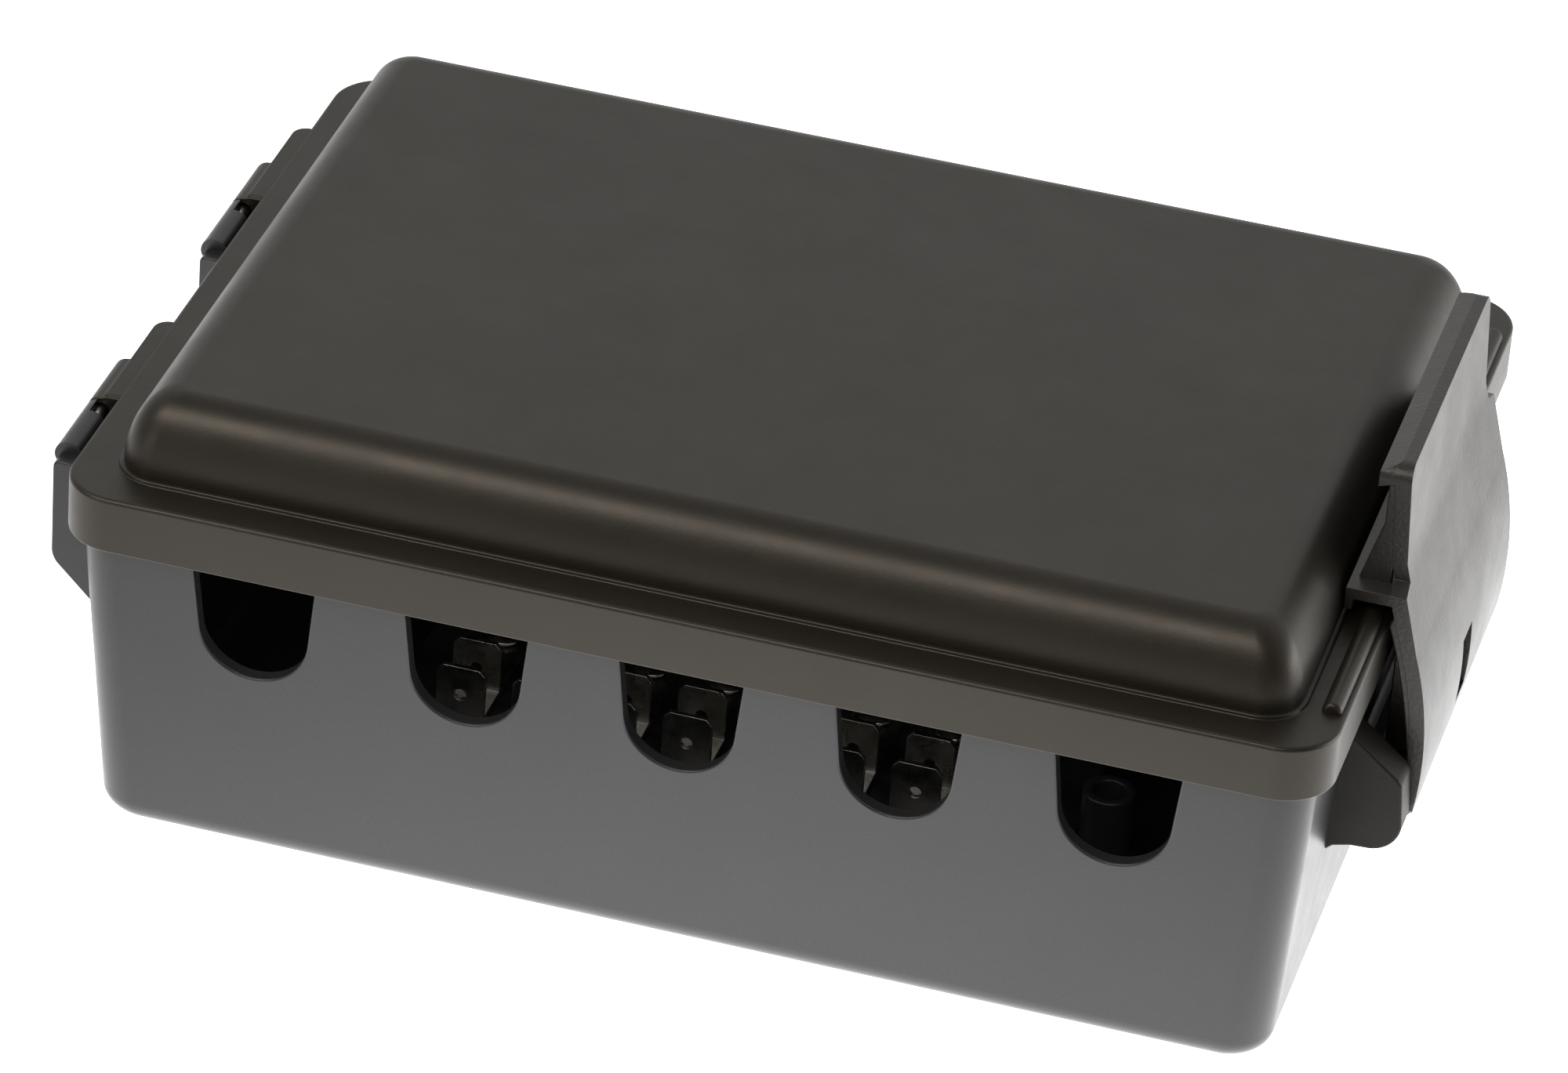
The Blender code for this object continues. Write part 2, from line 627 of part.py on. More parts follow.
def strip_section():
    """The strip seen from the side: a flat bar with four upright tabs."""
    low = BOARD_HIGH + GAP
    floor = low + TAB_THICK
    start = TAB_ROWS[0] - TAB_THICK / 2
    points = [(start, low), (-start, low)]
    for row in reversed(TAB_ROWS):
        for y in (row + TAB_THICK / 2, row - TAB_THICK / 2):
            top = [(y, TAB_TOP)]
            base = [] if abs(abs(y) - abs(start)) < 0.01 * MM else [(y, floor)]
            points += base + top if y > row else top + base
    return points


def make_strip(index):
    x = column_x(index)
    name = f"bus_strip_{index + 1}"
    strip = extruded(name, strip_section(), x - TAB_WIDTH / 2, x + TAB_WIDTH / 2, "X")
    for side in (-1, 1):
        corner_x = x + side * TAB_WIDTH / 2
        wedge = [
            (corner_x - side * TAB_CHAMFER, TAB_TOP + 0.2 * MM),
            (corner_x + side * 1 * MM, TAB_TOP + 0.2 * MM),
            (corner_x + side * 1 * MM, TAB_TOP - TAB_CHAMFER - 1 * MM),
        ]
        cut(strip, extruded("tab_chamfer", wedge, TAB_ROWS[0] - 5 * MM, TAB_ROWS[-1] + 5 * MM, "Y"))
    hole_z = TAB_TOP - TAB_HOLE_DROP
    start = (x, TAB_ROWS[0] - 5 * MM, hole_z)
    cut(strip, rod("tab_hole", TAB_HOLE, start, (x, TAB_ROWS[-1] + 5 * MM, hole_z), 10))
    for sy in (-1, 1):
        low = (x, sy * RIVET_Y, BOARD_HIGH - 1 * MM)
        cut(strip, rod("strip_hole", 1.5 * MM, low, (x, sy * RIVET_Y, TAB_TOP), 12))
    return keep(strip, BRASS)


def make_rivet(index, place, side):
    """A tubular rivet: domed head on the strip, shank through the board and a rolled foot under it."""
    head_low = BOARD_HIGH + 2 * GAP + TAB_THICK
    profile = [
        (0, head_low + 0.9 * MM),
        (1.3 * MM, head_low + 0.75 * MM),
        (2.1 * MM, head_low + 0.3 * MM),
        (2.2 * MM, head_low),
        (1.15 * MM, head_low),
        (1.15 * MM, BOARD_LOW - GAP),
        (1.9 * MM, BOARD_LOW - GAP),
        (1.7 * MM, BOARD_LOW - GAP - 0.7 * MM),
        (0, BOARD_LOW - GAP - 0.7 * MM),
    ]
    return turned(f"rivet_{place}_{index + 1}", profile, (column_x(index), side * RIVET_Y, 0), BRASS, 12)


def make_board_screw(place, side):
    """A pan-head screw through the board into the tub's boss, with a cross recess."""
    seat = BOARD_HIGH + GAP
    profile = [
        (0, seat + 2.2 * MM),
        (1.6 * MM, seat + 2.1 * MM),
        (2.6 * MM, seat + 1.4 * MM),
        (2.9 * MM, seat),
        (1.35 * MM, seat),
        (1.35 * MM, 4.4 * MM),
        (0, 3.4 * MM),
    ]
    screw = turned(f"board_screw_{place}", profile, (side * BOSS_X, 0, 0), STEEL, 20)
    for wide, long in ((0.35 * MM, 1.5 * MM), (1.5 * MM, 0.35 * MM)):
        low = (side * BOSS_X - wide, -long, seat + 1.0 * MM)
        cut(screw, box("cross_recess", low, (side * BOSS_X + wide, long, seat + 3 * MM)))
    return screw


def make_hinge_pin(place, front):
    start = (HINGE_X, front + TUB_BARREL[0] + 0.8 * MM + GAP, HINGE_Z)
    end = (HINGE_X, front + LID_BARREL[1] - 0.2 * MM, HINGE_Z)
    return keep(rod(f"{place}_hinge_pin", PIN_RADIUS, start, end, 16), STEEL)


def main():
    make_tub()
    make_lid()
    make_latch()
    make_board()
    for index in range(COLUMNS):
        make_strip(index)
        make_rivet(index, "front", -1)
        make_rivet(index, "rear", 1)
    make_board_screw("left", -1)
    make_board_screw("right", 1)
    for place, front in HINGE_FRONTS.items():
        make_hinge_pin(place, front)


main()
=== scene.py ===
"""Looks for the trailer cable junction box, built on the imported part.

Fine moulded shells, filleted hardware, materials, light and camera. Lengths are in metres. +Z is up, -Y is
the wall with the five slots, -X has the hinges and +X the latch.
"""

import json
import math

import bmesh
import bpy
from mathutils import Matrix, Vector


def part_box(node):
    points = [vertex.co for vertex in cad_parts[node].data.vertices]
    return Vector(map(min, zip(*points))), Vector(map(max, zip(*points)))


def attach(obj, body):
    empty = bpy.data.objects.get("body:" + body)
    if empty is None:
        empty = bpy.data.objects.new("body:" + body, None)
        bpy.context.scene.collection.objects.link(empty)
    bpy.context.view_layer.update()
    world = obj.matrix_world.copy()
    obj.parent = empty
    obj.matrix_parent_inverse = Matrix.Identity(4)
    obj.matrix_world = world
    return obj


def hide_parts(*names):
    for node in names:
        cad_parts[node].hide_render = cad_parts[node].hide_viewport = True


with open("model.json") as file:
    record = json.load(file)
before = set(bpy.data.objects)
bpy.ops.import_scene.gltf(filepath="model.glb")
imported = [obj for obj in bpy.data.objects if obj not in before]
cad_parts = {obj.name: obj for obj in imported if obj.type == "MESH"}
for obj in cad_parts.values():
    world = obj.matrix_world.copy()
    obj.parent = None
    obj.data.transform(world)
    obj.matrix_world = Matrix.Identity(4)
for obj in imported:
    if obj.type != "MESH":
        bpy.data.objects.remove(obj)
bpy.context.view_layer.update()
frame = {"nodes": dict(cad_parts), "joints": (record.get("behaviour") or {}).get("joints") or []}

MM = 0.001

# ---------------------------------------------------------------- sizes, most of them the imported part's

RIM_HALF = (77.55 * MM, 54.5 * MM)
FLOOR_HALF = (74.65 * MM, 51.6 * MM)
RIM_Z = 47.0 * MM
WALL = 2.2 * MM
FLOOR = 2.5 * MM
TUB_CORNER = 5.4 * MM
TUB_EDGE = 3.5 * MM
INNER_EDGE = 2.0 * MM
RELIEF = (-71.0 * MM, 42.2 * MM)  # the rim is lower from this X to the hinge end

LID_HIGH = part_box("lid")[1]
LID_HALF = (LID_HIGH.x, LID_HIGH.y)
SKIRT_Z = 42.1 * MM
FLANGE_Z = 49.6 * MM
DOME_TOP = LID_HIGH.z
SKIRT_WALL = 1.25 * MM
FLANGE_WALL = 1.5 * MM
LID_CORNER = 7.0 * MM
FLANGE_WIDTH = 5.0 * MM
BEAD_HEIGHT = 0.5 * MM
BEAD_WIDTH = 0.6 * MM
DOME_CORNER = 5.0 * MM
DOME_EDGE = 6.0 * MM
DOME_LEAN = 0.3 * MM
DOME_WALL = 1.8 * MM
RIB_X = 77.2 * MM
RIB_RADIUS = 1.25 * MM
RIB_HALF_LENGTH = 46.7 * MM

SLOTS = 5
SLOT_PITCH = 27.0 * MM
SLOT_BOTTOM = 26.6 * MM
SLOT_TOP_HALF = 7.7 * MM  # at SLOT_TOP_Z
SLOT_TOP_Z = 41.0 * MM
SLOT_SLOPE = 0.097

POSTS = [(sx * 48.0 * MM, sy * 27.0 * MM) for sx in (-1, 1) for sy in (-1, 1)]
POST_RADIUS = 3.3 * MM
POST_BORE = 2.1 * MM
POST_TOP = 19.2 * MM  # 0.8 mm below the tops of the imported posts
BOSS_X = 41.2 * MM
BOSS_RADIUS = 3.4 * MM
BOSS_BORE = 1.7 * MM
BOSS_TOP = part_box("terminal_board")[0].z - 0.3 * MM

JOINTS = {joint["name"]: joint for joint in frame["joints"]}
HINGE_X, _, HINGE_Z = JOINTS["lid_hinge"]["pos_m"]
HINGE_FRONTS = (-47.0 * MM, 6.0 * MM)
BARREL_RADIUS = 1.8 * MM
PIN_HOLE = 1.05 * MM
TUB_BARREL = (2.3 * MM, 13.2 * MM)
LID_BARREL = (13.6 * MM, 23.8 * MM)
REAR_GUSSET = (24.2 * MM, 33.2 * MM)
BRACKET_X = -82.5 * MM
BRACKET_TOP = 43.6 * MM
BRACKET_BEND = 3.0 * MM
PLATE_TOP = 47.6 * MM  # of the plain plate in front of the barrel
PLATE_CORNER = 0.9 * MM
POCKET = 10.4 * MM  # the inner side of the tub's barrel is relieved from here back
HINGE_FOOT_Z = 28.6 * MM
HINGE_CHAMFER_Z = 34.3 * MM
LUG_X = -81.0 * MM
LUG_END = 33.6 * MM
LUG_CORNER = 2.0 * MM

PIVOT_X, _, PIVOT_Z = JOINTS["latch_pivot"]["pos_m"]
LATCH_LOW, LATCH_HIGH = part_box("latch")
CHEEK_INNER = 26.0 * MM
CHEEK_OUTER = 31.0 * MM
CHEEK_RADIUS = 4.0 * MM
CHEEK_CENTRE = (80.8 * MM, 25.2 * MM)
CHEEK_WEB = ((75.0 * MM, 19.1 * MM), (81.6 * MM, 20.6 * MM))  # the shelf between the cheeks, X and Z
CHEEK_LAP = 1.0 * MM  # how far the shelf runs into each cheek
LATCH_HALF = 25.5 * MM
CROWN_HALF = 22.8 * MM
CROWN_CORNER = 2.2 * MM
PLATE = 1.9 * MM
CROWN = (79.6 * MM, LATCH_HIGH.z)
CREASE = (80.4 * MM, 57.0 * MM)
BELLY = (85.56 * MM, 31.0 * MM)
BELLY_RADIUS = 50.0 * MM
HEEL = (84.2 * MM, 22.7 * MM)
LEDGE_TIP = (75.7 * MM, 69.0 * MM)
LEDGE_RIDGE = (78.3 * MM, 70.1 * MM)
LEDGE_THICK = 2.0 * MM
HOOK_X = LATCH_LOW.x
HOOK_LIP = 1.0 * MM
HOOK_LIP_Z = 50.9 * MM
HOOK_LOW = 52.4 * MM
HOOK_HIGH = 53.9 * MM
EDGE_RIB = 1.4 * MM
GUSSET = 1.2 * MM
BACK_RIB_X = 79.9 * MM
BACK_RIB = (29.0 * MM, 50.0 * MM)  # Z, from its foot to its top
BACK_RIB_Y = (20.0 * MM, 10.0 * MM)  # on either side of the middle
LATCH_BARREL = 2.6 * MM
TRUNNION_RADIUS = 1.5 * MM
TRUNNION_TIP = LATCH_HIGH.y
LATCH_SLOT_HALF = 2.5 * MM
LATCH_SLOT = (26.0 * MM, 35.0 * MM)

# ---------------------------------------------------------------- sizes of the finish

CORNER_STEPS = 14  # steps in a quarter turn of a shell's corner
FILLET = 0.35 * MM  # radius that a moulded edge keeps
SOFT_FILLET = 0.6 * MM
METAL_FILLET = 0.12 * MM
FILLET_STEPS = 3
DOME_STEPS = 22
BEYOND = 3.0 * MM  # how far a cutter runs past the face that it opens
CORNER_EASE = 0.6  # share of an edge's inset that its corner radius loses
DOME_EASE = 0.55

AXES = {
    "X": Matrix(((0, 0, 1, 0), (1, 0, 0, 0), (0, 1, 0, 0), (0, 0, 0, 1))),
    "Y": Matrix(((1, 0, 0, 0), (0, 0, 1, 0), (0, 1, 0, 0), (0, 0, 0, 1))),
    "Z": Matrix.Identity(4),
}


# ---------------------------------------------------------------- materials

# Noise scales, in features per metre.
FLOW_SCALE = 38
SHEEN_SCALE = 90
WAVE_SCALE = 22
TARNISH_SCALE = 220
PATCH_SCALE = 600

SPECK_RATIO = 1.7  # specks are this much finer than the grain
SPECK_RANGE = (0.86, 1.12)
WAVE_SHARE = 1.2
METAL_PITS = 0.006 * MM


def new_material(name):
    made = bpy.data.materials.new(name)
    made.use_nodes = True
    return made, made.node_tree.nodes, made.node_tree.links


def noise(nodes, links, place, scale, detail=3.0, roughness=0.5):
    """A noise texture in the piece's own coordinates. Scale is in features per metre."""
    made = nodes.new("ShaderNodeTexNoise")
    made.inputs["Scale"].default_value = scale
    made.inputs["Detail"].default_value = detail
    made.inputs["Roughness"].default_value = roughness
    links.new(place.outputs["Object"], made.inputs["Vector"])
    return made


def ramp(nodes, links, source, low, high, start=0.3, end=0.7):
    """Runs a texture's value from one colour or grey to another."""
    made = nodes.new("ShaderNodeValToRGB")
    made.color_ramp.elements[0].position = start
    made.color_ramp.elements[1].position = end
    made.color_ramp.elements[0].color = (*low, 1)
    made.color_ramp.elements[1].color = (*high, 1)
    links.new(source, made.inputs["Fac"])
    return made


def grey(value):
    return (value, value, value)


def shaded(colour, factor):
    return tuple(channel * factor for channel in colour)


def shader_of(material):
    return material.node_tree.nodes["Principled BSDF"]


def map_range(nodes, links, source, start, end, low=0.0, high=1.0, smooth=False):
    """Runs a value that goes from start to end from low to high, and holds it outside them."""
    made = nodes.new("ShaderNodeMapRange")
    if smooth:
        made.interpolation_type = "SMOOTHSTEP"
    made.inputs["From Min"].default_value = start
    made.inputs["From Max"].default_value = end
    made.inputs["To Min"].default_value = low
    made.inputs["To Max"].default_value = high
    links.new(source, made.inputs["Value"])
    return made


def distance_from(nodes, links, place, point):
    """The distance of a surface point from a point in the piece's own coordinates."""
    made = nodes.new("ShaderNodeVectorMath")
    made.operation = "DISTANCE"
    made.inputs[1].default_value = point
    links.new(place.outputs["Object"], made.inputs[0])
    return made.outputs["Value"]


def moulded_plastic(name, colour, gloss, grain, depth, cloud=0.12):
    """Textured injection-moulded plastic: fine grain, specks, faint flow clouds and uneven gloss."""
    made, nodes, links = new_material(name)
    shader = nodes["Principled BSDF"]
    shader.inputs["IOR"].default_value = 1.5
    place = nodes.new("ShaderNodeTexCoord")
    flow = noise(nodes, links, place, FLOW_SCALE, 4)
    dark, light = shaded(colour, 1 - cloud), shaded(colour, 1 + cloud)
    tint = ramp(nodes, links, flow.outputs["Fac"], dark, light)
    speck = noise(nodes, links, place, grain * SPECK_RATIO, 2)
    dim, bright = map(grey, SPECK_RANGE)
    specks = ramp(nodes, links, speck.outputs["Fac"], dim, bright, 0.35, 0.65)
    blend = nodes.new("ShaderNodeMix")
    blend.data_type = "RGBA"
    blend.blend_type = "MULTIPLY"
    blend.inputs["Factor"].default_value = 1.0
    links.new(tint.outputs["Color"], blend.inputs["A"])
    links.new(specks.outputs["Color"], blend.inputs["B"])
    links.new(blend.outputs["Result"], shader.inputs["Base Color"])
    sheen = noise(nodes, links, place, SHEEN_SCALE, 6, 0.75)
    rough = ramp(nodes, links, sheen.outputs["Fac"], grey(gloss - 0.04), grey(gloss + 0.05))
    links.new(rough.outputs["Color"], shader.inputs["Roughness"])
    pits = noise(nodes, links, place, grain, 2.5, 0.55)
    wave = noise(nodes, links, place, WAVE_SCALE, 1)
    height = nodes.new("ShaderNodeMath")
    height.operation = "MULTIPLY_ADD"
    height.inputs[1].default_value = WAVE_SHARE
    links.new(wave.outputs["Fac"], height.inputs[0])
    links.new(pits.outputs["Fac"], height.inputs[2])
    bump = nodes.new("ShaderNodeBump")
    bump.inputs["Strength"].default_value = 1.0
    bump.inputs["Distance"].default_value = depth
    links.new(height.outputs[0], bump.inputs["Height"])
    links.new(bump.outputs["Normal"], shader.inputs["Normal"])
    return made


def plated_metal(name, colour, tarnish, gloss, grain):
    """Plated metal: clouds of tarnish, uneven gloss and fine pits."""
    made, nodes, links = new_material(name)
    shader = nodes["Principled BSDF"]
    shader.inputs["Metallic"].default_value = 1.0
    place = nodes.new("ShaderNodeTexCoord")
    cloud = noise(nodes, links, place, TARNISH_SCALE, 4, 0.6)
    tint = ramp(nodes, links, cloud.outputs["Fac"], tarnish, colour, 0.35, 0.6)
    links.new(tint.outputs["Color"], shader.inputs["Base Color"])
    patch = noise(nodes, links, place, PATCH_SCALE, 3, 0.6)
    rough = ramp(nodes, links, patch.outputs["Fac"], grey(gloss - 0.06), grey(gloss + 0.10))
    links.new(rough.outputs["Color"], shader.inputs["Roughness"])
    pits = noise(nodes, links, place, grain, 2)
    bump = nodes.new("ShaderNodeBump")
    bump.inputs["Strength"].default_value = 0.5
    bump.inputs["Distance"].default_value = METAL_PITS
    links.new(pits.outputs["Fac"], bump.inputs["Height"])
    links.new(bump.outputs["Normal"], shader.inputs["Normal"])
    return made


# Each plastic: colour, roughness, grain in features per metre, depth of the grain, strength of the clouds.
TUB_PLASTIC = moulded_plastic("tub_plastic", (0.0205, 0.0203, 0.0218), 0.34, 2600, 0.010 * MM, 0.05)
LID_PLASTIC = moulded_plastic("lid_plastic", (0.0130, 0.0108, 0.0078), 0.40, 2600, 0.012 * MM)
shader_of(LID_PLASTIC).inputs["Specular Tint"].default_value = (1.0, 0.93, 0.83, 1)
# Painted shade: the cheeks and the shelf between them belong to the tub, and this darker, duller copy of
# its plastic paints in the shadow that the tub's corner casts on them.
CHEEK_PLASTIC_PAINTED_SHADE = moulded_plastic("cheek_plastic_painted_shade", (0.0180, 0.0163, 0.0140), 0.48, 2600, 0.012 * MM)
shader_of(CHEEK_PLASTIC_PAINTED_SHADE).inputs["Specular IOR Level"].default_value = 0.22
LATCH_PLASTIC = moulded_plastic("latch_plastic", (0.028, 0.0250, 0.0230), 0.38, 1800, 0.05 * MM, 0.05)
BOARD_PLASTIC = moulded_plastic("board_plastic", (0.016, 0.016, 0.017), 0.5, 3000, 0.012 * MM)
# Each metal: colour, tarnished colour, roughness and grain.
BRASS = plated_metal("plated_brass", (0.58, 0.565, 0.53), (0.36, 0.345, 0.31), 0.30, 4000)
STEEL = plated_metal("zinc_steel", (0.62, 0.62, 0.61), (0.42, 0.42, 0.40), 0.28, 3000)


# ---------------------------------------------------------------- shapes


def object_of(name, shape):
    bmesh.ops.recalc_face_normals(shape, faces=shape.faces)
    mesh = bpy.data.meshes.new(name)
    shape.to_mesh(mesh)
    shape.free()
    made = bpy.data.objects.new(name, mesh)
    bpy.context.scene.collection.objects.link(made)
    return made


def arc(centre, radius, start, end, steps=CORNER_STEPS):
    """Points on an arc, from one angle to the other in degrees."""
    angles = [math.radians(start + (end - start) * i / steps) for i in range(steps + 1)]
    return [(centre[0] + radius * math.cos(a), centre[1] + radius * math.sin(a)) for a in angles]


def prism(name, outline, low, high, axis):
    """A closed outline extruded from low to high along an axis."""
    shape = bmesh.new()
    ends = [[shape.verts.new((u, v, w)) for u, v in outline] for w in (low, high)]
    for loop in ends:
        shape.faces.new(loop)
    for i, here in enumerate(ends[0]):
        j = (i + 1) % len(outline)
        shape.faces.new((here, ends[0][j], ends[1][j], ends[1][i]))
    shape.transform(AXES[axis])
    return object_of(name, shape)


def block(name, low, high):
    outline = [(low[0], low[1]), (high[0], low[1]), (high[0], high[1]), (low[0], high[1])]
    return prism(name, outline, low[2], high[2], "Z")


def circle(radius, sides):
    turns = [2 * math.pi * i / sides for i in range(sides)]
    return [(radius * math.cos(t), radius * math.sin(t)) for t in turns]


def turned(name, profile, centre, axis="Z", sides=48):
    """A closed profile of (radius, height) swept round an axis through centre."""
    shape = bmesh.new()
    rings = []
    for radius, height in profile:
        points = [(x, y, height) for x, y in circle(radius, sides)]
        rings.append([shape.verts.new(point) for point in points])
    for lower, upper in zip(rings, rings[1:] + rings[:1]):
        for i in range(sides):
            j = (i + 1) % sides
            shape.faces.new((lower[i], lower[j], upper[j], upper[i]))
    shape.transform(Matrix.Translation(centre) @ AXES[axis])
    return object_of(name, shape)


def rod(name, radius, low, high, centre, axis, sides=40):
    """A plain cylinder from low to high along an axis through centre, for cutters and bevelled pins."""
    made = prism(name, circle(radius, sides), low, high, axis)
    made.data.transform(Matrix.Translation(centre))
    return made


def corner_ring(half, corner, z):
    """One ring of points round a rectangle with round corners."""
    points = []
    for sx, sy, start in ((1, 1, 0), (-1, 1, 90), (-1, -1, 180), (1, -1, 270)):
        centre = (sx * (half[0] - corner), sy * (half[1] - corner))
        points += [(x, y, z) for x, y in arc(centre, corner, start, start + 90)]
    return points


def lofted(name, rings):
    """A closed body through rings of (half size, corner radius, height), capped at both ends."""
    shape = bmesh.new()
    loops = [[shape.verts.new(point) for point in corner_ring(*ring)] for ring in rings]
    for lower, upper in zip(loops, loops[1:]):
        for i, here in enumerate(lower):
            j = (i + 1) % len(lower)
            shape.faces.new((here, lower[j], upper[j], upper[i]))
    shape.faces.new(loops[0])
    shape.faces.new(loops[-1])
    return object_of(name, shape)


def inset(half, by):
    return (half[0] - by, half[1] - by)


def settled(obj):
    """Applies an object's modifiers."""
    graph = bpy.context.evaluated_depsgraph_get()
    graph.update()
    mesh = bpy.data.meshes.new_from_object(obj.evaluated_get(graph))
    obj.modifiers.clear()
    old = obj.data
    obj.data = mesh
    bpy.data.meshes.remove(old)


def combined(body, others, operation):
    """Cuts other objects from a body, or joins them to it, and removes them."""
    for other in others:
        boolean = body.modifiers.new("combine", "BOOLEAN")
        boolean.operation = operation
        boolean.solver = "EXACT"
        boolean.object = other
    settled(body)
    for other in others:
        bpy.data.objects.remove(other)
    return body


def tidied(obj, angle=0.5):
    """Joins doubled points and dissolves edges inside flat faces, so that an edge fillet runs clean."""
    shape = bmesh.new()
    shape.from_mesh(obj.data)
    bmesh.ops.remove_doubles(shape, verts=shape.verts, dist=0.004 * MM)
    bmesh.ops.dissolve_limit(
        shape, angle_limit=math.radians(angle), verts=shape.verts, edges=shape.edges, delimit={"NORMAL"}
    )
    bmesh.ops.recalc_face_normals(shape, faces=shape.faces)
    shape.to_mesh(obj.data)
    shape.free()
    return obj


def filleted(obj, width=FILLET, angle=32):
    """Rounds every edge sharper than an angle and shades the rest smooth."""
    bevel = obj.modifiers.new("fillet", "BEVEL")
    bevel.width = width
    bevel.segments = FILLET_STEPS
    bevel.limit_method = "ANGLE"
    bevel.angle_limit = math.radians(angle)
    bevel.miter_outer = "MITER_ARC"
    bevel.use_clamp_overlap = True
    settled(obj)
    obj.data.shade_smooth()
    normals = obj.modifiers.new("normals", "WEIGHTED_NORMAL")
    normals.keep_sharp = True
    normals.weight = 100
    settled(obj)
    return obj


def placed(obj, body, finish, nodes=()):
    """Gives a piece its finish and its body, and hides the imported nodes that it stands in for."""
    obj.data.materials.clear()
    obj.data.materials.append(finish)
    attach(obj, body)
    if nodes:
        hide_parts(*nodes)
    return obj


# ---------------------------------------------------------------- tub


def tub_half(z):
    share = z / RIM_Z
    return tuple(low + (high - low) * share for low, high in zip(FLOOR_HALF, RIM_HALF))


def edge_angles(steps):
    return [math.pi / 2 * i / steps for i in range(steps + 1)]


def tub_rings():
    rings = []
    for angle in edge_angles(CORNER_STEPS):
        z = TUB_EDGE * (1 - math.cos(angle))
        pulled = TUB_EDGE * (1 - math.sin(angle))
        rings.append((inset(tub_half(z), pulled), TUB_CORNER - pulled * CORNER_EASE, z))
    for angle in edge_angles(4):
        pulled = FILLET * (1 - math.cos(angle))
        z = RIM_Z - FILLET * (1 - math.sin(angle))
        rings.append((inset(RIM_HALF, pulled), TUB_CORNER - pulled, z))
    for angle in edge_angles(4):
        pulled = WALL - FILLET * (1 - math.sin(angle))
        z = RIM_Z - FILLET * (1 - math.cos(angle))
        rings.append((inset(RIM_HALF, pulled), TUB_CORNER - pulled, z))
    for angle in edge_angles(8):
        z = FLOOR + INNER_EDGE * (1 - math.sin(angle))
        pulled = WALL + INNER_EDGE * (1 - math.cos(angle))
        corner = TUB_CORNER - WALL - (pulled - WALL) * CORNER_EASE
        rings.append((inset(tub_half(z), pulled), corner, z))
    return rings


def slot_cutter(index):
    """A tapered U, open at the top, through the front wall."""
    lean = math.atan(SLOT_SLOPE)
    reach = SLOT_TOP_HALF - SLOT_SLOPE * (SLOT_TOP_Z - SLOT_BOTTOM)
    radius = reach / (1 / math.cos(lean) - SLOT_SLOPE)
    middle = (index - (SLOTS - 1) / 2) * SLOT_PITCH
    degrees = math.degrees(lean)
    outline = arc((middle, SLOT_BOTTOM + radius), radius, 180 + degrees, 360 - degrees, 2 * CORNER_STEPS)
    top = RIM_Z + BEYOND
    wide = SLOT_TOP_HALF + SLOT_SLOPE * (top - SLOT_TOP_Z)
    outline += [(middle + wide, top), (middle - wide, top)]
    return prism("slot_cutter", outline, -RIM_HALF[1] - BEYOND, -RIM_HALF[1] + 3 * WALL, "Y")


def screw_post(centre):
    """A hollow post that stands on the floor, rounded at its top and filleted at its foot."""
    outside = [(POST_RADIUS + 1.2 * MM, FLOOR - 0.4 * MM), (POST_RADIUS + 1.2 * MM, FLOOR)]
    outside += arc((POST_RADIUS + 1.2 * MM, FLOOR + 1.2 * MM), 1.2 * MM, 270, 180, 6)[1:]
    outside += arc((POST_RADIUS - FILLET, POST_TOP - FILLET), FILLET, 0, 90, 4)
    inside = arc((POST_BORE + FILLET, POST_TOP - FILLET), FILLET, 90, 180, 4)
    inside += [(POST_BORE, FLOOR - 0.4 * MM)]
    return turned("screw_post", outside + inside, (*centre, 0))


def board_boss(side):
    outside = [(BOSS_RADIUS + 0.8 * MM, FLOOR - 0.4 * MM), (BOSS_RADIUS + 0.8 * MM, FLOOR)]
    outside += arc((BOSS_RADIUS + 0.8 * MM, FLOOR + 0.8 * MM), 0.8 * MM, 270, 180, 5)[1:]
    outside += arc((BOSS_RADIUS - FILLET, BOSS_TOP - FILLET), FILLET, 0, 90, 4)
    inside = [(BOSS_BORE, BOSS_TOP), (BOSS_BORE, FLOOR - 0.4 * MM)]
    return turned("board_boss", outside + inside, (side * BOSS_X, 0, 0), sides=40)


